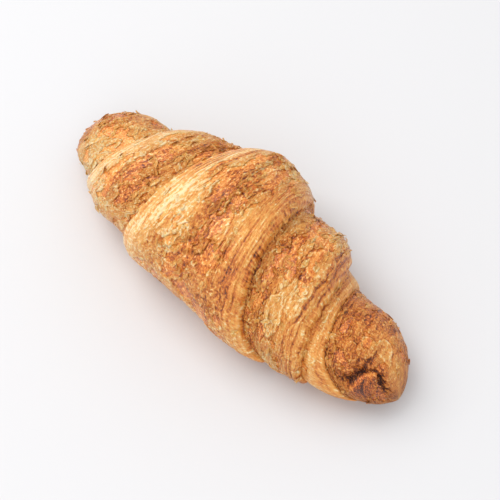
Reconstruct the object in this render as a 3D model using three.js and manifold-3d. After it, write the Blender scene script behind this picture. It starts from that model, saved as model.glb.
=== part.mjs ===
// A butter croissant: one long triangle of laminated dough, rolled up from its base to its
// point and baked lying on its tail. The wraps step down from the middle to both ends, the
// underside is pressed flat by the tray, and both ends lift a little off it.
// Millimetres, +Z up, +X along the roll, origin in the middle of the underside.

import * as THREE from 'three';
import { mergeVertices } from 'three/addons/utils/BufferGeometryUtils.js';
import Module from 'manifold-3d';

const LENGTH = 165; // from end to end along the roll
const MIDDLE_RADIUS = 32.1; // of the middle wrap, before the tray flattens it
const WRAP_FLARE = 0.072; // how much each wrap widens per millimetre from the middle
const AXIS_HEIGHT = 0.7; // height of the roll's axis, as a share of the local radius
const CROWN = 0.836; // rise of the top above the axis, as a share of the radius
const BELLY = 0.82; // drop of the underside below the axis, as a share of the radius
const SQUARENESS = 0.95; // below 1 the section is a little fuller than an ellipse
const BACK_FULLNESS = 0.013; // the back bulges this share more than the front

const LEFT_END = { cap: 39.5, bluntness: 2.3, lift: 4 };
const RIGHT_END = { cap: 26.2, bluntness: 1.75, lift: 5 };

// The roll isn't quite straight: how far its axis lies to the back at the middle, and how
// much of that leans towards one side, in millimetres.
const BOW = { middle: 2.1, lean: -1.2, ends: -0.2, twist: 1.2 };

// The two cut edges of the triangle wind round the roll and show as five seams. Each runs
// from a foot at the back, over the top, to a foot at the front. Past a seam, towards its
// end of the roll, the next wrap lies one drop lower, and swell is how far the upper wrap
// takes to reach its full radius.
const SEAMS = [
  { side: -1, back: -33, top: -53, front: -66, drop: 12.2, swell: 40 },
  { side: -1, back: -7.5, top: -22.5, front: -33, drop: 5.6, swell: 13 },
  { side: 1, back: 10.5, top: 16.5, front: 38, drop: 7.6, swell: 20 },
  { side: 1, back: 32, top: 45, front: 55.5, drop: 7.3, swell: 14 },
  { side: 1, back: 47, top: 50.5, front: 74, drop: 3.7, swell: 13.5 },
];
const FOOT_ANGLE = THREE.MathUtils.degToRad(60); // from straight down to a seam's foot

const RINGS_PER_WRAP = [9, 9, 13, 9, 6, 9]; // rings of vertices between neighbouring seams
const AROUND = 60; // vertices in a ring
const CROWDING = 0.09; // rings stand closer together near a seam

const CRUST_COLOUR = 0xc98a45;
const CRUST_ROUGHNESS = 0.55;

// Where a seam lies along the roll at a roll angle: 0 is straight down, a quarter turn is
// the back and half a turn is the top. Under the base the seam crosses back to its start.
function seamPlace(seam, roll) {
  const reach = Math.PI - FOOT_ANGLE;
  const fromTop = (roll - Math.PI) / reach;
  if (Math.abs(fromTop) <= 1) {
    const slant = (seam.front - seam.back) / 2;
    const curl = (seam.front + seam.back) / 2 - seam.top;
    return seam.top + slant * fromTop + curl * fromTop ** 2;
  }
  const underneath = roll > Math.PI ? roll - 2 * Math.PI + FOOT_ANGLE : roll + FOOT_ANGLE;
  const ease = 0.5 - 0.5 * Math.cos((Math.PI * underneath) / (2 * FOOT_ANGLE));
  return THREE.MathUtils.lerp(seam.front, seam.back, ease);
}

// Share of a wrap's full thickness at a distance in from its edge: a rounded lip.
function lip(distance, swell) {
  const share = THREE.MathUtils.clamp(distance / swell, 0, 1);
  return Math.sqrt(1 - (1 - share) ** 2);
}

// Radius of the roll at a place along it and a roll angle.
function rollRadius(x, roll) {
  const end = x < 0 ? LEFT_END : RIGHT_END;
  let radius = MIDDLE_RADIUS + WRAP_FLARE * Math.abs(x);
  for (const seam of SEAMS) {
    const inFromEdge = (seamPlace(seam, roll) - x) * seam.side;
    radius -= seam.drop * (1 - lip(inFromEdge, seam.swell));
  }
  const intoCap = (Math.abs(x) - (LENGTH / 2 - end.cap)) / end.cap;
  const share = THREE.MathUtils.clamp(intoCap, 0, 1);
  return radius * (1 - share ** end.bluntness) ** (1 / end.bluntness);
}

// A point of the crust.
function crustPoint(x, roll) {
  const u = (2 * x) / LENGTH;
  const radius = rollRadius(x, roll);
  const bow = BOW.middle * (1 - u ** 2) + BOW.lean * u * (1 - u ** 2);
  const axisY = bow + BOW.ends * u ** 2 + BOW.twist * u ** 3;
  const end = x < 0 ? LEFT_END : RIGHT_END;
  const axisZ = AXIS_HEIGHT * radius + end.lift * Math.abs(u) ** 2.5;
  const down = Math.cos(roll);
  const depth = radius * (down > 0 ? BELLY : CROWN);
  const fullness = 1 + BACK_FULLNESS * Math.sin(roll);
  return new THREE.Vector3(
    x,
    axisY + radius * fullness * Math.sin(roll),
    axisZ - depth * Math.sign(down) * Math.abs(down) ** SQUARENESS,
  );
}

// Place along the roll of a ring, counted from the left end: the rings follow the seams.
function ringPlace(ring, roll) {
  const edges = [-LENGTH / 2, ...SEAMS.map((seam) => seamPlace(seam, roll)), LENGTH / 2];
  let wrap = 0;
  let first = 0;
  while (wrap < RINGS_PER_WRAP.length - 1 && ring >= first + RINGS_PER_WRAP[wrap]) {
    first += RINGS_PER_WRAP[wrap];
    wrap += 1;
  }
  const share = (ring - first) / RINGS_PER_WRAP[wrap];
  const crowded = share - CROWDING * Math.sin(2 * Math.PI * share);
  return THREE.MathUtils.lerp(edges[wrap], edges[wrap + 1], crowded);
}

// A sphere whose poles are the ends of the roll, drawn out ring by ring into the roll.
function rolledDough() {
  const rings = RINGS_PER_WRAP.reduce((total, count) => total + count, 0);
  const geometry = new THREE.SphereGeometry(1, AROUND, rings);
  const position = geometry.attributes.position;
  const unit = new THREE.Vector3();
  for (let i = 0; i < position.count; i += 1) {
    unit.fromBufferAttribute(position, i);
    const polar = Math.acos(THREE.MathUtils.clamp(-unit.y, -1, 1));
    const ring = Math.round((polar / Math.PI) * rings);
    const step = Math.round((Math.atan2(unit.x, unit.z) / (2 * Math.PI)) * AROUND);
    const roll = (2 * Math.PI * ((step + AROUND) % AROUND)) / AROUND;
    const point = crustPoint(ringPlace(ring, roll), roll);
    position.setXYZ(i, point.x, point.y, point.z);
  }
  geometry.deleteAttribute('normal');
  geometry.deleteAttribute('uv');
  return mergeVertices(geometry);
}

// Cut away what the tray flattens, which leaves a true flat to rest on.
async function flattenedByTray(geometry) {
  const wasm = await Module();
  wasm.setup();
  const solid = (shape) => new wasm.Manifold(new wasm.Mesh({
    numProp: 3,
    vertProperties: new Float32Array(shape.attributes.position.array),
    triVerts: new Uint32Array(shape.index.array),
  }));
  const tray = new THREE.BoxGeometry(2 * LENGTH, LENGTH, LENGTH);
  tray.translate(0, 0, -LENGTH / 2);
  tray.deleteAttribute('normal');
  tray.deleteAttribute('uv');
  const cut = solid(geometry).subtract(solid(mergeVertices(tray))).getMesh();
  const flattened = new THREE.BufferGeometry();
  flattened.setAttribute('position', new THREE.BufferAttribute(cut.vertProperties, 3));
  flattened.setIndex(new THREE.BufferAttribute(cut.triVerts, 1));
  return flattened;
}

// Put the origin in the middle of the underside.
function centredOnBase(geometry) {
  geometry.computeBoundingBox();
  const middle = geometry.boundingBox.getCenter(new THREE.Vector3());
  geometry.translate(-middle.x, -middle.y, -geometry.boundingBox.min.z);
  geometry.computeVertexNormals();
  return geometry;
}

const crust = new THREE.MeshStandardMaterial({
  color: CRUST_COLOUR,
  roughness: CRUST_ROUGHNESS,
  metalness: 0,
});
const croissant = new THREE.Mesh(centredOnBase(await flattenedByTray(rolledDough())), crust);
croissant.name = 'croissant';

const part = new THREE.Group();
part.add(croissant);
export default part;
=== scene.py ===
import math
import random

import bmesh
import bpy
import numpy as np
from mathutils import Matrix, Vector, noise

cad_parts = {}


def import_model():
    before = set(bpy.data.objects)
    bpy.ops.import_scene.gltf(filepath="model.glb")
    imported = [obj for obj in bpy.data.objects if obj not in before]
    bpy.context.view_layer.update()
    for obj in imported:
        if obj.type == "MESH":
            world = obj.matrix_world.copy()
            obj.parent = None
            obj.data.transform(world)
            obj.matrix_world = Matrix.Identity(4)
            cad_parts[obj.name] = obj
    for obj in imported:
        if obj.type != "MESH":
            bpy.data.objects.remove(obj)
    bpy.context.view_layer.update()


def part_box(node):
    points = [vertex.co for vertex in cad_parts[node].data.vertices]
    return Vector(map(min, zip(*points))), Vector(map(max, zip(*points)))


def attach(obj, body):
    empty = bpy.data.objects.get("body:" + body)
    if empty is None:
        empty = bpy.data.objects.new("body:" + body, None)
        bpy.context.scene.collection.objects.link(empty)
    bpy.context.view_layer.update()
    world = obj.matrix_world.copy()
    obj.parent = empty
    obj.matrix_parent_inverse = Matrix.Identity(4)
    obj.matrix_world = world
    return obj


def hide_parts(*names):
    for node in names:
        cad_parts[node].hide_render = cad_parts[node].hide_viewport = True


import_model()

# ---------------------------------------------------------------------------------------
# The crust: one long triangle of butter-laminated dough, rolled up from its base to its
# point and baked. The two cut edges wind round the roll and show as five raised lips, and
# between them the thin outer layers have blistered, split and lifted into flakes.
# ---------------------------------------------------------------------------------------

# Sizes are in millimetres and turned to metres when they go into a mesh.
MM = 0.001
low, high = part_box("croissant")
LENGTH = (high.x - low.x) / MM

MIDDLE_RADIUS = 32.1
WRAP_FLARE = 0.072
AXIS_HEIGHT = 0.7
CROWN = 0.836
BELLY = 0.82
SQUARENESS = 0.95
BACK_FULLNESS = 0.013
LEFT_END = {"cap": 39.5, "bluntness": 2.3, "lift": 4.0}
RIGHT_END = {"cap": 26.2, "bluntness": 1.75, "lift": 5.0}
END_LIFT_POWER = 2.5
BOW = {"middle": 2.1, "lean": -1.2, "ends": -0.2, "twist": 1.2}
FOOT_ANGLE = math.radians(60)

# Lips of the wraps, from the left end to the right: where each starts at its back foot,
# crosses the top and ends at its front foot, how far the next wrap lies below it, and over
# what length it rounds up from its lip to that height.
SEAMS = [
    {"side": -1, "back": -33, "top": -53, "front": -66, "drop": 12.2, "swell": 40},
    {"side": -1, "back": -7.5, "top": -22.5, "front": -33, "drop": 5.6, "swell": 13},
    {"side": 1, "back": 10.5, "top": 16.5, "front": 38, "drop": 7.6, "swell": 20},
    {"side": 1, "back": 32, "top": 45, "front": 55.5, "drop": 7.3, "swell": 14},
    {"side": 1, "back": 47, "top": 50.5, "front": 74, "drop": 3.7, "swell": 13.5},
]
# Each lip's edge: how thick it is, how far it overhangs, how torn it is, and how deep the
# nook under it lies. A nook below 0 is filled up.
LIP_THICKNESS = [0.7, 1.1, 0.8, 0.6, 0.4]
LIP_OVERHANG = [0.6, 1.3, 0.5, 0.5, 0.1]
LIP_TEARS = [0.5, 0.4, 0.5, 0.8, 0.3]
LIP_NOOK = [0.4, 0.5, -0.5, -0.1, -0.4]
LIP_WAVINESS = 1.0

# Rings of vertices in each wrap and columns round the roll. They are drawn together
# towards the lips and towards the top, where the fine relief is.
RINGS_PER_WRAP = [70, 76, 120, 76, 36, 70]
RINGS = sum(RINGS_PER_WRAP)
AROUND = 214
LIP_CROWDING = 0.07
TOP_CROWDING = 0.5

# Patterns on the crust are laid out on a plain tube of this radius, so that they keep
# their size all along the roll. Without a seed the noise would change from run to run.
SKIN_RADIUS = 30.0
NOISE_SEED = 7
noise.seed_set(NOISE_SEED)


def mottle(points, across, along, seed, octaves=3):
    """Soft noise from -1 to 1 at each point of the skin, finer across the roll than along."""
    shift_by = Vector((seed * 17.3, seed * 5.1, seed * 9.7))
    return np.array([
        noise.fractal(Vector((x * across, y * along, z * along)) + shift_by, 1.0, 2.1, octaves)
        for x, y, z in points
    ])


def seam_place(seam, roll_angle):
    """Where a lip lies along the roll: a slanting curve over the top, joined underneath."""
    reach = math.pi - FOOT_ANGLE
    t = (roll_angle - math.pi) / reach
    slant = (seam["front"] - seam["back"]) / 2
    curl = (seam["front"] + seam["back"]) / 2 - seam["top"]
    over = seam["top"] + slant * t + curl * t * t
    turned = np.where(
        roll_angle > math.pi, roll_angle - 2 * math.pi + FOOT_ANGLE, roll_angle + FOOT_ANGLE)
    ease = 0.5 - 0.5 * np.cos(np.pi * turned / (2 * FOOT_ANGLE))
    under = seam["front"] + (seam["back"] - seam["front"]) * ease
    return np.where(np.abs(t) <= 1, over, under)


def ease_step(value, start, end):
    """Rises smoothly from 0 to 1 as the value goes from start to end."""
    step_share = np.clip((value - start) / (end - start), 0, 1)
    return step_share * step_share * (3 - 2 * step_share)


# A sphere whose poles are the ends of the roll. Each of its rings of vertices follows the
# seams, and each column of them lies at one roll angle: 0 below, then back, top and front.
dough = bmesh.new()
bmesh.ops.create_uvsphere(dough, u_segments=AROUND, v_segments=RINGS, radius=1)
crust_mesh = bpy.data.meshes.new("croissant_crust")
dough.to_mesh(crust_mesh)
dough.free()
count = len(crust_mesh.vertices)
unit = np.empty(count * 3)
crust_mesh.vertices.foreach_get("co", unit)
unit = unit.reshape(-1, 3)
ring = np.rint(np.arccos(np.clip(-unit[:, 2], -1, 1)) / np.pi * RINGS).astype(int)
turn = np.arctan2(unit[:, 0], -unit[:, 1]) / (2 * np.pi) * AROUND
column = np.rint(turn).astype(int) % AROUND


def crowd_to_top(angle):
    return angle + TOP_CROWDING * np.sin(angle)


roll = crowd_to_top(2 * np.pi * column / AROUND)
degrees = np.degrees(roll)

# Seam places at every column, a little wavy as torn dough is.
column_roll = crowd_to_top(2 * np.pi * np.arange(AROUND) / AROUND)
rim = np.stack([
    np.zeros(AROUND), SKIN_RADIUS * np.cos(column_roll), SKIN_RADIUS * np.sin(column_roll)
], 1)
seam_lines, seam_tears = [], []
for number, seam in enumerate(SEAMS):
    waves = LIP_WAVINESS * mottle(rim, 1, 0.05, number + 1, 2)
    seam_lines.append(seam_place(seam, column_roll) + waves)
    seam_tears.append(LIP_TEARS[number] * mottle(rim, 1, 0.33, number + 11))
seam_lines = np.array(seam_lines)

# Where each vertex lies along the roll, and the same place on the top line, which stays
# one number all along a seam and so gives the grain of the crust its direction.
ends = np.full(AROUND, LENGTH / 2)
edges = np.vstack([-ends, seam_lines, ends])
top_edges = np.array([-LENGTH / 2] + [seam["top"] for seam in SEAMS] + [LENGTH / 2])
first_rings = np.concatenate([[0], np.cumsum(RINGS_PER_WRAP)])
wrap = np.clip(np.searchsorted(first_rings, ring, side="right") - 1, 0, len(SEAMS))
share = (ring - first_rings[wrap]) / np.array(RINGS_PER_WRAP)[wrap]
share = share - LIP_CROWDING * np.sin(2 * np.pi * share)
place = edges[wrap, column] + (edges[wrap + 1, column] - edges[wrap, column]) * share
grain = top_edges[wrap] + (top_edges[wrap + 1] - top_edges[wrap]) * share
skin = np.stack([grain, SKIN_RADIUS * np.cos(roll), SKIN_RADIUS * np.sin(roll)], 1)

# How far in from each lip a vertex is: on the wrap that ends in the lip, and on the wrap
# that the lip lies over. A vertex of another wrap counts as far away.
FAR = 99.0
local_seams = seam_lines[:, column]
inward = np.array([(local_seams[k] - place) * SEAMS[k]["side"] for k in range(len(SEAMS))])
from_lip = np.full((len(SEAMS), count), FAR)
below_lip = np.full((len(SEAMS), count), FAR)
for k, seam in enumerate(SEAMS):
    upper = k + 1 if seam["side"] < 0 else k
    lower = k if seam["side"] < 0 else k + 1
    from_lip[k] = np.where(wrap == upper, np.abs(inward[k]), FAR)
    below_lip[k] = np.where(wrap == lower, np.abs(inward[k]), FAR)
    if seam["side"] > 0:
        from_lip[k] = np.where(ring == first_rings[k + 1], 0, from_lip[k])

# The body of the roll.
end_cap = np.where(place < 0, LEFT_END["cap"], RIGHT_END["cap"])
end_bluntness = np.where(place < 0, LEFT_END["bluntness"], RIGHT_END["bluntness"])
end_lift = np.where(place < 0, LEFT_END["lift"], RIGHT_END["lift"])
radius = MIDDLE_RADIUS + WRAP_FLARE * np.abs(place)
for k, seam in enumerate(SEAMS):
    reach_in = np.clip(inward[k] / seam["swell"], 0, 1)
    radius -= seam["drop"] * (1 - np.sqrt(1 - (1 - reach_in) ** 2))
into_cap = np.clip((np.abs(place) - (LENGTH / 2 - end_cap)) / end_cap, 0, 1)
radius = radius * np.clip(1 - into_cap ** end_bluntness, 0, 1) ** (1 / end_bluntness)
u = 2 * place / LENGTH
axis_y = (BOW["middle"] + BOW["lean"] * u) * (1 - u ** 2)
axis_y += BOW["ends"] * u ** 2 + BOW["twist"] * u ** 3
axis_z = AXIS_HEIGHT * radius + end_lift * np.abs(u) ** END_LIFT_POWER
down = np.cos(roll)
depth = radius * np.where(down > 0, BELLY, CROWN)
body = np.stack([
    place,
    axis_y + radius * (1 + BACK_FULLNESS * np.sin(roll)) * np.sin(roll),
    axis_z - depth * np.sign(down) * np.abs(down) ** SQUARENESS,
], 1)

# Outward direction: straight out from the roll's axis, turning to the ends at the caps.
CAP_TURN = 1.4
outward = np.stack([
    np.sign(place) * into_cap ** 3 * CAP_TURN, np.sin(roll), -np.cos(roll)
], 1)
outward /= np.linalg.norm(outward, axis=1)[:, None]

# ---- How the crust has baked ----------------------------------------------------------
# Bake runs from 0, straw-pale, over 0.5, golden, to 1, dark brown. Flaky is how much the
# outer layers have split there. Patches give a place on the top line, a roll angle in
# degrees, how far they spread across and round the roll, and what they add.
WRAP_BAKE = [0.18, 0.38, 0.46, 0.52, 0.36, 0.82]
WRAP_FLAKY = [0.55, 0.55, 0.5, 0.65, 0.4, 0.48]
OWN_BAKE_SHARE, BLENDED_BAKE_SHARE = 0.7, 0.3
PATCHES = [
    # place, degrees, spread across, spread round, bake, flaky
    (-71, 150, 9, 40, 0.42, 0.1),
    (-58, 140, 9, 22, 0.38, 0.2),
    (-76, 200, 5, 80, 0.32, 0.0),
    (-31, 150, 9, 26, 0.34, 0.4),
    (-35, 190, 8, 22, 0.30, 0.5),
    (-30, 222, 9, 24, 0.34, 0.5),
    (-42, 228, 6, 18, 0.26, 0.4),
    (-49, 215, 6, 60, -0.22, -0.2),
    (-15, 205, 7, 34, -0.26, -0.1),
    (-19, 240, 6, 30, -0.24, -0.2),
    (-11, 178, 8, 14, 0.24, 0.6),
    (-3, 172, 6, 16, 0.32, 0.7),
    (-1, 194, 5, 16, 0.28, 0.6),
    (-2, 224, 5, 12, 0.40, 0.8),
    (-11, 236, 6, 14, 0.16, 0.5),
    (3, 150, 9, 22, 0.05, 0.3),
    (11, 188, 6, 22, -0.12, -0.6),
    (25, 185, 5, 20, 0.10, 0.0),
    (-14, 262, 10, 24, 0.14, 0.45),
    (6, 262, 9, 24, 0.12, 0.35),
    (-4, 140, 5, 12, 0.12, 0.5),
    (9, 236, 6, 34, 0.38, 0.0),
    (24, 165, 4, 40, 0.20, 0.2),
    (23, 225, 4, 34, 0.26, 0.5),
    (33, 186, 5, 9, 0.28, 0.6),
    (31, 222, 5, 14, -0.16, -0.2),
    (36, 205, 5, 14, -0.08, 0.1),
    (41, 160, 5, 20, 0.10, 0.4),
    (36, 138, 6, 16, 0.0, 0.4),
    (-2, 130, 8, 16, 0.0, 0.4),
    (41, 225, 4, 30, -0.06, -0.3),
    (52, 235, 3, 26, 0.22, 0.3),
    (55, 160, 6, 24, 0.14, -0.2),
    (66, 182, 5, 14, -0.18, 0.2),
    (74, 165, 6, 22, -0.26, -0.2),
    (79, 186, 4, 30, -0.20, -0.2),
    (60, 214, 4, 22, 0.10, 0.1),
    (67, 240, 7, 24, 0.26, 0.2),
]
PATCH_WANDER, PATCH_RAGGED = 3, 1.5
PATCH_WANDER_DEGREES, PATCH_RAGGED_DEGREES = 9, 5
UNDERSIDE_BAKE = 0.22
LEFT_TIP_BAKE = 0.45

wander = np.stack([mottle(skin, 0.08, 0.08, 31), mottle(skin, 0.08, 0.08, 32)], 1)
ragged = mottle(skin, 0.3, 0.22, 33)
bake = np.interp(grain, top_edges[:-1] + np.diff(top_edges) / 2, WRAP_BAKE)
bake = np.array(WRAP_BAKE)[wrap] * OWN_BAKE_SHARE + bake * BLENDED_BAKE_SHARE
flaky = np.array(WRAP_FLAKY)[wrap].astype(float)
ragged_place = grain + PATCH_WANDER * wander[:, 0] + PATCH_RAGGED * ragged
ragged_degrees = degrees + PATCH_WANDER_DEGREES * wander[:, 1] + PATCH_RAGGED_DEGREES * ragged
for at, towards, wide, round_by, add_bake, add_flaky in PATCHES:
    across = (ragged_place - at) / wide
    around = (ragged_degrees - towards) / round_by
    weight = np.exp(-(across ** 2 + around ** 2))
    bake += add_bake * weight
    flaky += add_flaky * weight
from_top = np.abs(degrees - 180)
underside = ease_step(from_top, 100, 128)
bake += UNDERSIDE_BAKE * underside
bake += LEFT_TIP_BAKE * ease_step(-place, 74, 82)
flaky = np.clip(flaky * (1 - 0.7 * underside), 0, 1)

# Margins: beside its lip a wrap is drawn out into fine lines, pale at the left lips and a
# little browner at the right ones. Just under a lip the crust is darkened as painted shade.
LEFT_MARGINS = {0: 7, 1: 9}
RIGHT_MARGINS = {2: 7, 3: 7, 4: 7}
SHADE_REACH = 2.2
SHADE_SHARES = [1, 1, 1, 1, 0.3]
SHADE_BAKE = 0.10
NARROW_WRAP = 4


def bell(distance, reach):
    """Falls smoothly from 1 on a line to nearly 0 at twice the reach from it."""
    return np.exp(-(distance / reach) ** 2)


margin = sum(bell(from_lip[k], reach) for k, reach in LEFT_MARGINS.items())
margin_right = sum(bell(from_lip[k], reach) for k, reach in RIGHT_MARGINS.items())
bake -= 0.16 * margin
bake += 0.05 * margin_right
# Painted shade in the nook just under each lip.
shade = sum(part * bell(below_lip[k], SHADE_REACH) for k, part in enumerate(SHADE_SHARES))
bake += SHADE_BAKE * shade
flaky = np.clip(flaky * (1 - 0.75 * np.clip(margin + margin_right, 0, 1)), 0, 1)
lined = np.clip(margin + margin_right + 0.45 * (1 - flaky), 0, 1)
lined = lined * np.where(wrap == NARROW_WRAP, 0.55, 1)


# ---- Relief, in millimetres out from the roll -------------------------------------------
def plates(across, along, seed, raggedness, tilt):
    """Thin plates of split crust, each lying at its own level and slope so that its torn
    edges stand over its neighbours. Gives their height and a tone of each plate's own."""
    shift_by = Vector((seed * 3.7, seed * 8.9, seed * 1.3))
    heights, own_tones = np.empty(count), np.empty(count)
    for i, (x, y, z) in enumerate(skin):
        spot = Vector((x * across, y * along, z * along)) + shift_by
        spot += raggedness * noise.noise_vector(spot * 2.1)
        spot += raggedness * 0.6 * noise.noise_vector(spot * 5.3)
        centre = noise.voronoi(spot)[1][0]
        own = noise.cell_vector(centre * 53.1)
        lean = Vector((own.x - 0.5, own.y - 0.5, own.z - 0.5)) * 2
        heights[i] = (own.x + own.y + own.z) / 1.5 - 1 + tilt * lean.dot(spot - centre)
        own_tones[i] = own.y
    return heights, own_tones


def split_layers(level, curl):
    """Thin layers that end in torn edges: each rises and curls up towards its edge, and
    then drops to the one below."""
    whole = np.floor(level)
    part = level - whole
    rise = ease_step(part, 0.0, 0.12)
    return whole + rise + curl * part ** 3 * (1 - ease_step(part, 0.94, 1.0))


def wandering(spots, scale):
    """A soft vector of noise at each of the spots."""
    return np.array([noise.noise_vector(Vector(spot) * scale) for spot in spots])


# The patterns wander along the grain, and swirl about where the crust is flaky.
DRIFT, SWIRL = 1.2, 2.0
drift = wandering(skin * (1.0, 0.25, 0.25), 0.11)
swirl = wandering(skin, 0.16)
swirl += 0.4 * wandering(skin, 0.45)
bent = skin + DRIFT * drift + SWIRL * swirl * ease_step(flaky, 0.25, 0.8)[:, None]

LAYER_CURL = 0.5
lumps = mottle(skin, 0.10, 0.06, 41, 2)
ripples = mottle(bent, 0.45, 0.08, 42, 3)
lines = 1 - np.abs(mottle(bent, 0.38, 0.010, 43, 2)) * 3
fine_lines = 1 - np.abs(mottle(bent, 0.75, 0.016, 44, 1)) * 3
large_plates, large_tone = plates(0.13, 0.07, 45, 0.45, 0.9)
coarse_layers = split_layers(3.2 * mottle(bent, 0.13, 0.030, 46, 3), LAYER_CURL)
fine_layers = split_layers(2.8 * mottle(bent, 0.30, 0.075, 47, 3), LAYER_CURL)
crumbs = mottle(bent, 0.42, 0.34, 50, 2)

# Each pattern's height on smooth crust, and what is added to it on fully flaky crust.
relief = 0.55 * lumps + (0.02 + 0.14 * flaky) * ripples + (0.02 + 0.10 * flaky) * large_plates
relief += (0.05 + 0.16 * flaky) * coarse_layers + (0.01 + 0.15 * flaky) * fine_layers
relief += 0.20 * flaky * crumbs
relief += (0.4 + 0.6 * lined) * (0.11 * lines + 0.06 * fine_lines)
bake += (0.04 + 0.16 * flaky) * (large_tone - 0.5)
layer_tone = 0.07 * (np.floor(coarse_layers) % 2 - 0.5)
layer_tone += 0.06 * flaky * (np.floor(fine_layers) % 2 - 0.5)
bake += layer_tone

# Where the outermost layer has come away the one below shows, lower, smoother and redder,
# inside a thin pale rim.
BARE_DEPTH = 0.13
BARE_RIM = 0.10
peel = mottle(bent, 0.21, 0.065, 51, 4) + 0.5 * (flaky - 0.85)
bare = ease_step(peel, 0.0, 0.05) * ease_step(flaky, 0.2, 0.4)
bare_rim = bell(peel + 0.035, 0.045) * (1 - bare) * ease_step(flaky, 0.2, 0.5)
relief = relief * (1 - 0.3 * bare) - BARE_DEPTH * bare + BARE_RIM * bare_rim
bake += 0.11 * bare - 0.08 * bare_rim

# Large leaves of the outermost layer that have lifted off whole, curled up at the rim:
# place on the top line, degrees, half width, half length, lift and what it adds to bake.
LEAVES = [
    (30.5, 227, 3.4, 9.5, 0.80, -0.10),
    (26.5, 238, 2.2, 8.0, 0.50, -0.06),
    (35.5, 204, 4.0, 7.0, 0.45, -0.10),
    (37.0, 170, 4.5, 7.5, 0.45, -0.06),
    (30.0, 188, 3.2, 5.6, 0.40, 0.12),
    (41.5, 238, 2.0, 9.0, 0.35, -0.06),
    (2.5, 212, 2.2, 8.0, 0.50, -0.10),
    (-7.5, 228, 2.8, 6.6, 0.45, -0.08),
    (-14.0, 184, 3.6, 8.5, 0.35, -0.08),
    (-2.0, 160, 3.4, 8.0, 0.40, -0.06),
    (-35.0, 212, 3.0, 7.0, 0.40, -0.06),
    (-41.0, 184, 4.0, 7.0, 0.35, -0.08),
    (-31.0, 172, 2.8, 6.6, 0.40, 0.06),
    (66.0, 186, 3.4, 6.4, 0.50, -0.12),
    (61.0, 204, 3.0, 6.0, 0.40, 0.06),
    (72.0, 168, 3.4, 7.0, 0.40, -0.10),
    (64.0, 228, 3.0, 7.0, 0.40, -0.04),
]
LEAF_ROUNDNESS = 2.4
LEAF_RAGGED = 0.34
LEAF_NOOK = 0.12
torn = 1.4 * mottle(bent, 0.14, 0.06, 48, 4)
for at, towards, half_wide, half_long, lift, add_bake in LEAVES:
    across = (grain + 0.8 * wander[:, 0] - at) / half_wide
    around = np.radians(degrees - towards) * SKIN_RADIUS / half_long
    off_centre = np.abs(across) ** LEAF_ROUNDNESS + np.abs(around) ** LEAF_ROUNDNESS
    off_centre = off_centre ** (1 / LEAF_ROUNDNESS) + LEAF_RAGGED * torn
    inside = 1 - ease_step(off_centre, 0.98, 1.06)
    relief = relief * (1 - 0.4 * inside) + inside * lift * (0.35 + 0.65 * off_centre ** 2)
    under_rim = ease_step(off_centre, 0.97, 1.08) * bell(off_centre - 1.08, 0.16)
    relief -= LEAF_NOOK * under_rim * (off_centre > 0.97)
    thin_rim = bell(off_centre - 0.92, 0.09)
    # Just outside each leaf's curled rim the crust is darker: painted shadow of the rim.
    bake += add_bake * inside - 0.05 * thin_rim * inside + 0.06 * under_rim

HIGH_RELIEF = 0.7


def soft_cap(size, free, extra):
    """Leaves sizes up to free as they are, and eases larger ones to at most free + extra."""
    return np.where(size > free, free + extra * np.tanh((size - free) / extra), size)


relief -= relief.mean()
relief = soft_cap(relief, HIGH_RELIEF, HIGH_RELIEF)

# The lips: a bead of dough edge that overhangs the wrap below it.
TEAR_REACH = 1.8
LIP_ROUNDING = 1.5
NOOK_REACH = 1.6
shift = np.zeros(count)
for k, seam in enumerate(SEAMS):
    shift += seam_tears[k][column] * bell(inward[k], TEAR_REACH)
    q = np.clip(from_lip[k] / LIP_ROUNDING, 0, 1)
    on_upper = from_lip[k] < FAR
    shift += np.where(on_upper, LIP_OVERHANG[k] * np.sin(np.pi * q), 0) * seam["side"]
    bead = ease_step(q, 0.05, 0.95) * (0.7 + 0.3 * bell(from_lip[k], 6))
    relief += np.where(on_upper, LIP_THICKNESS[k] * bead, 0)
    relief -= np.where(below_lip[k] < FAR, LIP_NOOK[k] * bell(below_lip[k], NOOK_REACH), 0)

# The right-hand lip of the middle wrap shows the ends of its layers, like a fine comb.
COMB_LIP = 2
COMB_BAKE = 0.10
DARKEST_CRUST = 0.86
comb = bell(from_lip[COMB_LIP] - 0.6, 2.0) * (from_lip[COMB_LIP] < FAR)
comb += bell(below_lip[COMB_LIP], 1.2) * (below_lip[COMB_LIP] < FAR)
comb = comb * ease_step(degrees, 125, 150) * (1 - ease_step(degrees, 232, 250))
bake += COMB_BAKE * comb
bake = np.minimum(bake, DARKEST_CRUST)

# Where the roll's end has opened: an arched slit, wide at its left foot and down its right
# leg. Its corners give a place along the roll and a roll angle.
SLIT_ARCH = [
    (68.0, 245), (68.8, 236), (70.3, 221), (72.0, 210),
    (73.4, 202), (74.8, 202), (76.4, 207), (78.8, 219),
]
SLIT_DEPTH = 3.0
slit = np.full(count, FAR)
reach_round = radius * np.pi / 180
for (x0, d0), (x1, d1) in zip(SLIT_ARCH, SLIT_ARCH[1:]):
    px, py = place - x0, (degrees - d0) * reach_round
    dx, dy = x1 - x0, (d1 - d0) * reach_round
    along_piece = np.clip((px * dx + py * dy) / (dx * dx + dy * dy + 1e-9), 0, 1)
    slit = np.minimum(slit, np.hypot(px - along_piece * dx, py - along_piece * dy))
slit_crumbs = mottle(skin, 0.5, 0.4, 49, 3)
slit_left = ease_step(place, 72, 69.5)
slit_right = ease_step(place, 74.6, 76.2)
slit_width = 0.6 + 0.8 * slit_crumbs + 1.9 * slit_left + 0.5 * slit_right
slit_depth = bell(slit, np.clip(slit_width, 0.4, 3.0))
slit_depth *= np.clip(0.5 + slit_left + slit_right, 0, 1)
relief -= SLIT_DEPTH * slit_depth
bake = bake * (1 - slit_depth) + (1.05 + 0.35 * slit_crumbs) * slit_depth
bake += 0.16 * bell(slit, 3.0)

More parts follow.
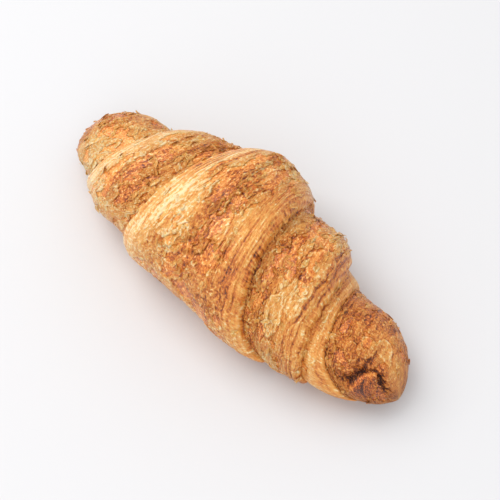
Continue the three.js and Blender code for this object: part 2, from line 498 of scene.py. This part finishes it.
# The tongue below it is a smooth fold of the layer inside, redder than the crust.
TONGUE = {"place": 73.2, "half_wide": 4.0, "degrees": 241, "half_round": 22}
TONGUE_BAKE = 1.22
TONGUE_HEIGHT = 0.7
across = (place - TONGUE["place"]) / TONGUE["half_wide"]
around = (degrees - TONGUE["degrees"]) / TONGUE["half_round"]
tongue = np.exp(-(across ** 2 + around ** 2) ** 1.5) * (1 - slit_depth)
relief = relief * (1 - 0.8 * tongue) + TONGUE_HEIGHT * tongue
bake = bake * (1 - tongue) + TONGUE_BAKE * tongue
flaky = flaky * (1 - tongue)
bare = np.clip(bare * (1 - slit_depth) + tongue, 0, 1)

# The relief dies out at the very tips and on the base, where the roll lay on its tray.
settle = (1 - into_cap ** 6) * (1 - 0.9 * ease_step(from_top, 118, 135))
relief = relief * np.clip(settle, 0, 1)
shift = shift * np.clip(settle, 0, 1)

TRAY_RIPPLE = 0.02
points = body + outward * relief[:, None]
points[:, 0] += shift
points[:, 1] -= (body[:, 1].max() + body[:, 1].min()) / 2
points[:, 1] = np.sign(points[:, 1]) * soft_cap(np.abs(points[:, 1]), high.y / MM + 0.8, 1.0)
points[:, 2] = soft_cap(points[:, 2], high.z / MM + 0.2, 1.2)
points[:, 2] = np.maximum(points[:, 2], TRAY_RIPPLE * np.sin(grain) + TRAY_RIPPLE)
crust_mesh.vertices.foreach_set("co", (points * MM).ravel())
crust_mesh.update()

# Painted highlight on crests and torn edges and painted shade in nooks and hollows, worked
# out from how each vertex stands against its neighbours.
pairs = np.empty(len(crust_mesh.edges) * 2, int)
crust_mesh.edges.foreach_get("vertices", pairs)
pairs = pairs.reshape(-1, 2)
neighbours = np.bincount(pairs.ravel(), minlength=count)


def spread(values, times):
    """Average with the neighbouring vertices, over and over."""
    for _ in range(times):
        total = np.stack([
            np.bincount(pairs[:, 0], values[pairs[:, 1], c], count)
            + np.bincount(pairs[:, 1], values[pairs[:, 0], c], count)
            for c in range(values.shape[1])
        ], 1)
        values = (values + total) / (neighbours + 1)[:, None]
    return values


EDGE_STAND, HOLLOW_DEPTH = 0.13, 0.8
normals = np.empty(count * 3)
crust_mesh.vertices.foreach_get("normal", normals)
normals = normals.reshape(-1, 3)
near = ((points - spread(points, 3)) * normals).sum(1)
wide = ((points - spread(points, 14)) * normals).sum(1)
crest_light_nook_shade = np.clip(near / EDGE_STAND, -1, 1)
hollow_shade_paint = np.clip(wide / HOLLOW_DEPTH, -1, 1)


def record(mesh, name, kind, field, values):
    """Keep a value of each vertex with the mesh, for the material to read."""
    layer = mesh.attributes.new(name, kind, "POINT")
    layer.data.foreach_set(field, np.asarray(values, np.float32).ravel())


# Bake is kept as a share of this, the most that it is taken to be.
FULL_BAKE = 1.4
# The third and fourth channels are painted: a highlight on crests with shade in nooks, and
# shade in wide hollows.
record(crust_mesh, "tones", "FLOAT_COLOR", "color", np.stack([
    np.clip(bake, 0, FULL_BAKE) / FULL_BAKE,
    flaky,
    0.5 + 0.5 * crest_light_nook_shade,
    0.5 + 0.5 * hollow_shade_paint,
], 1))
record(crust_mesh, "skin", "FLOAT_VECTOR", "vector", skin)
record(crust_mesh, "lined", "FLOAT", "value", lined)
record(crust_mesh, "bare", "FLOAT", "value", bare)
record(crust_mesh, "comb", "FLOAT", "value", comb)

crust = bpy.data.objects.new("croissant_crust", crust_mesh)
bpy.context.scene.collection.objects.link(crust)
for face in crust_mesh.polygons:
    face.use_smooth = True


def baked_crust():
    """Thin baked dough: straw to red-brown by how it baked, with grain lines, crisp torn
    sheets and crumbs, and a faint buttery gloss."""
    material = bpy.data.materials.new("baked_crust")
    material.use_nodes = True
    nodes, wires = material.node_tree.nodes, material.node_tree.links
    nodes.clear()

    def math_node(operation, first, second, clamp=False):
        node = nodes.new("ShaderNodeMath")
        node.operation = operation
        node.use_clamp = clamp
        for socket, value in zip(node.inputs, (first, second)):
            if isinstance(value, (int, float)):
                socket.default_value = value
            else:
                wires.new(value, socket)
        return node.outputs[0]

    def plus(first, second, clamp=False):
        return math_node("ADD", first, second, clamp)

    def minus(first, second):
        return math_node("SUBTRACT", first, second)

    def times(first, second, clamp=False):
        return math_node("MULTIPLY", first, second, clamp)

    def swing(value, by):
        """A value that runs from 0 to 1, taken as a swing about its middle."""
        return times(minus(value, 0.5), by)

    def scaled(vector, scales):
        mapping = nodes.new("ShaderNodeMapping")
        mapping.inputs["Scale"].default_value = scales
        wires.new(vector, mapping.inputs["Vector"])
        return mapping.outputs[0]

    def soft_noise(vector, scales, octaves, roughness):
        node = nodes.new("ShaderNodeTexNoise")
        node.inputs["Scale"].default_value = 1.0
        node.inputs["Detail"].default_value = octaves
        node.inputs["Roughness"].default_value = roughness
        wires.new(scaled(vector, scales), node.inputs["Vector"])
        return node

    def pattern(vector, across, along, octaves):
        return soft_noise(vector, (across, along, along), octaves, 0.6).outputs[0]

    def vector_node(operation, first, second=None):
        node = nodes.new("ShaderNodeVectorMath")
        node.operation = operation
        wires.new(first, node.inputs[0])
        if second is not None:
            wires.new(second, node.inputs[1])
        return node

    def bend(vector, scales, octaves, by):
        """Carry a pattern sideways by soft noise, so that its lines wander."""
        soft = soft_noise(vector, scales, octaves, 0.5)
        centred = vector_node("SUBTRACT", soft.outputs["Color"])
        centred.inputs[1].default_value = (0.5, 0.5, 0.5)
        sized = vector_node("SCALE", centred.outputs[0])
        if isinstance(by, float):
            sized.inputs["Scale"].default_value = by
        else:
            wires.new(by, sized.inputs["Scale"])
        return vector_node("ADD", vector, sized.outputs[0]).outputs[0]

    def recorded(name):
        node = nodes.new("ShaderNodeAttribute")
        node.attribute_name = name
        return node

    # What was worked out for each vertex: its place on the skin, how it baked there, and the
    # painted highlight on its crests and painted shade in its nooks and hollows.
    skin_at = recorded("skin").outputs["Vector"]
    lined_by = recorded("lined").outputs["Fac"]
    bare_by = recorded("bare").outputs["Fac"]
    comb_by = recorded("comb").outputs["Fac"]
    tone_node = recorded("tones")
    parts = nodes.new("ShaderNodeSeparateColor")
    wires.new(tone_node.outputs["Color"], parts.inputs[0])
    baked = times(parts.outputs[0], FULL_BAKE)
    split = parts.outputs[1]
    crest_and_nook_paint = minus(parts.outputs[2], 0.5)
    shade_in_hollows = minus(tone_node.outputs["Alpha"], 0.5)

    # Patterns of the skin: fine across the roll, long round it, bent where it has split.
    grain_at = bend(skin_at, (0.12, 0.03, 0.03), 1.0, 3.0)
    bent_at = bend(grain_at, (0.20, 0.20, 0.20), 2.0, times(split, 7.0))
    streaks = pattern(bent_at, 1.1, 0.022, 3)
    fibres = pattern(bent_at, 0.7, 0.018, 2)
    patches = pattern(bent_at, 0.16, 0.08, 6)
    mottling = pattern(bent_at, 0.45, 0.16, 4)
    specks = pattern(skin_at, 1.5, 0.9, 3)
    teeth = pattern(skin_at, 0.30, 1.0, 1)
    coarse = pattern(bent_at, 0.26, 0.07, 4)
    fine = pattern(bent_at, 0.70, 0.17, 3)
    hue_drift = pattern(skin_at, 0.07, 0.05, 3)
    coarse_step = math_node("FRACT", times(coarse, 7.0), 0)
    fine_step = math_node("FRACT", times(fine, 6.0), 0)

    def torn_edge(step):
        """Painted highlight on a torn layer's top edge, painted shade in the nook at its foot.
        """
        sharpness = 9.0
        top_highlight = math_node("POWER", step, sharpness)
        foot_shade = math_node("POWER", minus(1.0, step), sharpness)
        return minus(times(foot_shade, 0.25), top_highlight)

    def sheets(scales, ragged_by):
        """Overlapping sheets of split crust, flat within and crisp at their torn edges."""
        torn_at = bend(bent_at, (0.55, 0.40, 0.40), 3.0, ragged_by)
        cells = nodes.new("ShaderNodeTexVoronoi")
        cells.inputs["Scale"].default_value = 1.0
        wires.new(scaled(torn_at, scales), cells.inputs["Vector"])
        levels = nodes.new("ShaderNodeSeparateColor")
        wires.new(cells.outputs["Color"], levels.inputs[0])
        return levels.outputs[0], levels.outputs[1]

    wide_tone, wide_height = sheets((0.17, 0.07, 0.07), 4.0)
    small_tone, small_height = sheets((0.42, 0.20, 0.20), 2.5)
    tiny_tone, tiny_height = sheets((1.05, 0.50, 0.50), 1.4)

    # How much lines, specks and split layers count, by how lined and how split it is.
    streak_share = plus(times(lined_by, 0.6), 0.4)
    speck_share = plus(times(split, 1.2), 0.5)
    split_share = plus(times(split, 0.85), 0.15)

    # Lines, threads and specks are paler where their bump stands up and darker in its grooves:
    # partly grain colour, partly painted shade in the grooves and painted highlight on ridges.
    thread = times(math_node("ABSOLUTE", minus(fibres, 0.5), 0), 11.0, clamp=True)
    thread_line_and_shade = times(minus(0.7, thread), 0.24)
    speck_shade_and_highlight = swing(specks, -1.5)
    pale_crumb_and_highlight = times(minus(specks, 0.56), 9.0, clamp=True)
    layer_part = plus(times(torn_edge(coarse_step), 0.44), times(torn_edge(fine_step), 0.42))
    sheet_part = plus(plus(wide_tone, times(small_tone, 0.9)), times(tiny_tone, 0.8))
    # Painted highlight on crests and painted shade in nooks and wide hollows.
    crest_highlight = times(math_node("MAXIMUM", crest_and_nook_paint, 0.0), -0.58)
    nook_shade = times(math_node("MINIMUM", crest_and_nook_paint, 0.0), -0.10)
    terms = [
        times(plus(swing(streaks, -2.0), thread_line_and_shade), streak_share),
        swing(patches, 0.6),
        swing(mottling, 0.30),
        speck_shade_and_highlight,
        times(times(pale_crumb_and_highlight, speck_share), -0.30),
        times(swing(teeth, 1.7), comb_by),
        times(layer_part, split_share),
        times(times(minus(sheet_part, 1.35), 0.24), split_share),
        plus(crest_highlight, nook_shade),
        times(shade_in_hollows, -0.11),
    ]
    darkness = plus(baked, 0.105)
    for term in terms:
        darkness = plus(darkness, term)
    darkness = times(darkness, 0.74, clamp=True)

    ramp = nodes.new("ShaderNodeValToRGB")
    stops = [
        (0.00, (0.97, 0.73, 0.40)),
        (0.07, (0.92, 0.60, 0.260)),
        (0.15, (0.88, 0.48, 0.145)),
        (0.33, (0.82, 0.37, 0.078)),
        (0.52, (0.70, 0.240, 0.042)),
        (0.68, (0.54, 0.140, 0.020)),
        (0.85, (0.26, 0.064, 0.013)),
        (1.00, (0.07, 0.018, 0.009)),
    ]
    while len(ramp.color_ramp.elements) < len(stops):
        ramp.color_ramp.elements.new(0.5)
    for element, (at, colour) in zip(ramp.color_ramp.elements, stops):
        element.position = at
        element.color = (*colour, 1)
    wires.new(darkness, ramp.inputs[0])

    # Bare layers are redder, and so are wide drifts of the crust.
    redder = nodes.new("ShaderNodeMix")
    redder.data_type = "RGBA"
    redder.blend_type = "MULTIPLY"
    share_in, plain_in, tint_in = redder.inputs[0], redder.inputs[6], redder.inputs[7]
    tint_in.default_value = (1.0, 0.85, 0.70, 1)
    drift_part = times(minus(hue_drift, 0.44), 2.4, clamp=True)
    wires.new(plus(times(drift_part, 0.6), times(bare_by, 0.45), clamp=True), share_in)
    wires.new(ramp.outputs[0], plain_in)

    # Fine relief, in millimetres.
    sheet_height = plus(plus(wide_height, times(small_height, 0.7)), times(tiny_height, 0.4))
    sheet_height = times(times(sheet_height, split_share), 0.34)
    layer_height = times(plus(times(coarse_step, 0.34), times(fine_step, 0.30)), split_share)
    fine_height = times(times(streaks, streak_share), 0.5)
    for height in (
        times(thread, 0.22),
        times(specks, speck_share),
        plus(layer_height, sheet_height),
        times(times(teeth, comb_by), 1.3),
    ):
        fine_height = plus(fine_height, height)
    smoother = minus(1.0, times(bare_by, 0.75))
    bump = nodes.new("ShaderNodeBump")
    bump.inputs["Strength"].default_value = 1.0
    bump.inputs["Distance"].default_value = 0.0008
    wires.new(times(fine_height, smoother), bump.inputs["Height"])

    rough = minus(plus(times(darkness, -0.10), 0.35), times(bare_by, 0.10))
    rough = plus(rough, times(speck_shade_and_highlight, 0.2))

    shader = nodes.new("ShaderNodeBsdfPrincipled")
    shader.inputs["Specular IOR Level"].default_value = 0.42
    shader.inputs["Coat Weight"].default_value = 0.10
    shader.inputs["Coat Roughness"].default_value = 0.22
    shader.inputs["Subsurface Weight"].default_value = 0.2
    shader.inputs["Subsurface Radius"].default_value = (1.0, 0.45, 0.2)
    shader.inputs["Subsurface Scale"].default_value = 0.0015
    wires.new(redder.outputs[2], shader.inputs["Base Color"])
    wires.new(rough, shader.inputs["Roughness"])
    wires.new(bump.outputs[0], shader.inputs["Normal"])
    wires.new(bump.outputs[0], shader.inputs["Coat Normal"])
    output = nodes.new("ShaderNodeOutputMaterial")
    wires.new(shader.outputs[0], output.inputs[0])
    return material


crust_mesh.materials.append(baked_crust())
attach(crust, "root")
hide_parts("croissant")

# ---------------------------------------------------------------------------------------
# Loose flakes: slivers of the outermost layer that have cracked off the crust and stand
# up from it, held by one side. They gather where the crust has split and along the lips.
# ---------------------------------------------------------------------------------------

FLAKE_COUNT = 560
FLAKE_SIDES = 8
FLAKE_THICKNESS = 0.12
THINNEST_ROLL = 9
FLAKE_SEED = 12
draw = random.Random(FLAKE_SEED)
chance = 0.05 + flaky ** 2 + 0.25 * bell(from_lip.min(0), 1.5)
chance *= (1 - underside) * (1 - slit_depth) * (radius > THINNEST_ROLL)
chance *= (points[:, 2] < high.z / MM) * (np.abs(points[:, 1]) < high.y / MM)
chance_sum = np.cumsum(chance / chance.sum())
flake_bmesh = bmesh.new()
flake_tones, flake_skin = [], []
for _ in range(FLAKE_COUNT):
    host = int(np.searchsorted(chance_sum, draw.random()))
    host = min(host, count - 1)
    normal = Vector(normals[host])
    along = normal.cross(Vector((1, 0, 0))).normalized()
    across_way = along.cross(normal)
    half_wide = draw.uniform(0.35, 1.25)
    half_long = half_wide * draw.uniform(1.0, 2.4)
    tilt_by = math.radians(draw.uniform(8, 32)) * draw.choice((-1, 1))
    spin = math.radians(draw.gauss(0, 28))
    curl = draw.uniform(0.0, 0.35) / half_wide
    basis = Matrix((across_way, along, normal)).transposed()
    basis = basis @ Matrix.Rotation(spin, 3, "Z") @ Matrix.Rotation(tilt_by, 3, "Y")
    lift = 0.55 * half_wide * math.sin(abs(tilt_by)) + 0.04
    made = bmesh.ops.create_cone(
        flake_bmesh, cap_ends=True, cap_tris=True, segments=FLAKE_SIDES,
        radius1=1, radius2=0.9, depth=1)
    paleness = draw.uniform(-0.22, 0.04)
    outline = [draw.uniform(0.55, 1.25) for _ in range(FLAKE_SIDES)]
    for vert in made["verts"]:
        x, y, z = vert.co
        side = int(round(math.atan2(y, x) / (2 * math.pi) * FLAKE_SIDES)) % FLAKE_SIDES
        flat = Vector((x * outline[side] * half_wide, y * outline[side] * half_long, 0))
        flat.z = z * FLAKE_THICKNESS + curl * flat.x ** 2
        spot = Vector(points[host]) + normal * lift + basis @ flat
        vert.co = spot * MM
        near_rim = min(1.0, math.hypot(x, y))
        # Each flake is paler towards its rim, and its rim takes the material's painted crest
        # highlight.
        tone = max(0.0, bake[host] + paleness - 0.1 * near_rim)
        flake_tones.append((tone / FULL_BAKE, 0.3, 0.5 + 0.15 * near_rim, 0.5))
        flake_skin.append(tuple(skin[host] + np.array((flat.x, flat.y, draw.random()))))
flake_mesh = bpy.data.meshes.new("loose_flakes")
flake_bmesh.to_mesh(flake_mesh)
flake_bmesh.free()
record(flake_mesh, "tones", "FLOAT_COLOR", "color", flake_tones)
record(flake_mesh, "skin", "FLOAT_VECTOR", "vector", flake_skin)
record(flake_mesh, "lined", "FLOAT", "value", np.full(len(flake_tones), 0.3))
for plain in ("bare", "comb"):
    record(flake_mesh, plain, "FLOAT", "value", np.zeros(len(flake_tones)))
flake_mesh.materials.append(crust_mesh.materials[0])
flakes = bpy.data.objects.new("loose_flakes", flake_mesh)
bpy.context.scene.collection.objects.link(flakes)
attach(flakes, "root")
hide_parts("croissant")

# ---------------------------------------------------------------------------------------
# Floor, light and camera: a plain pale table top under a big soft light over the left
# end, with a weaker one that fills the shadow at the front.
# ---------------------------------------------------------------------------------------

FLOOR_HALF = 2.5
FLOOR_COLOUR = (0.69, 0.688, 0.700, 1)
table = bmesh.new()
bmesh.ops.create_grid(table, x_segments=1, y_segments=1, size=FLOOR_HALF)
floor_mesh = bpy.data.meshes.new("floor")
table.to_mesh(floor_mesh)
table.free()
floor = bpy.data.objects.new("floor", floor_mesh)
bpy.context.scene.collection.objects.link(floor)
pale = bpy.data.materials.new("pale_table")
pale.use_nodes = True
pale_shader = pale.node_tree.nodes["Principled BSDF"]
pale_shader.inputs["Base Color"].default_value = FLOOR_COLOUR
pale_shader.inputs["Roughness"].default_value = 0.9
pale_shader.inputs["Specular IOR Level"].default_value = 0.1
floor_mesh.materials.append(pale)

sky = bpy.data.worlds.new("soft_room")
sky.use_nodes = True
sky.node_tree.nodes["Background"].inputs["Color"].default_value = (1.0, 1.0, 1.0, 1)
sky.node_tree.nodes["Background"].inputs["Strength"].default_value = 0.80
bpy.context.scene.world = sky


def soft_light(name, at, size, watts):
    """A square white light that faces the middle of the table."""
    data = bpy.data.lights.new(name, "AREA")
    data.size = size
    data.energy = watts
    lamp = bpy.data.objects.new(name, data)
    lamp.location = at
    lamp.rotation_euler = (-Vector(at)).to_track_quat("-Z", "Y").to_euler()
    bpy.context.scene.collection.objects.link(lamp)


soft_light("window", (-0.62, -0.15, 1.0), 0.9, 8.5)
soft_light("reflector", (0.40, -0.60, 0.75), 0.8, 2.3)
bpy.context.scene.view_settings.view_transform = "Standard"

VIEW_AZIMUTH = math.radians(44.85)
VIEW_ELEVATION = math.radians(60)
VIEW_DISTANCE = 0.575
LOOK_AT = Vector((0, 0, 0.020))
away = Vector((
    math.sin(VIEW_AZIMUTH) * math.cos(VIEW_ELEVATION),
    -math.cos(VIEW_AZIMUTH) * math.cos(VIEW_ELEVATION),
    math.sin(VIEW_ELEVATION),
))
lens = bpy.data.cameras.new("camera")
lens.lens = 110
lens.sensor_width = 36
lens.shift_x = 0.0194
lens.shift_y = -0.0206
camera = bpy.data.objects.new("camera", lens)
camera.location = LOOK_AT + away * VIEW_DISTANCE
camera.rotation_euler = away.to_track_quat("Z", "Y").to_euler()
bpy.context.scene.collection.objects.link(camera)
bpy.context.scene.camera = camera
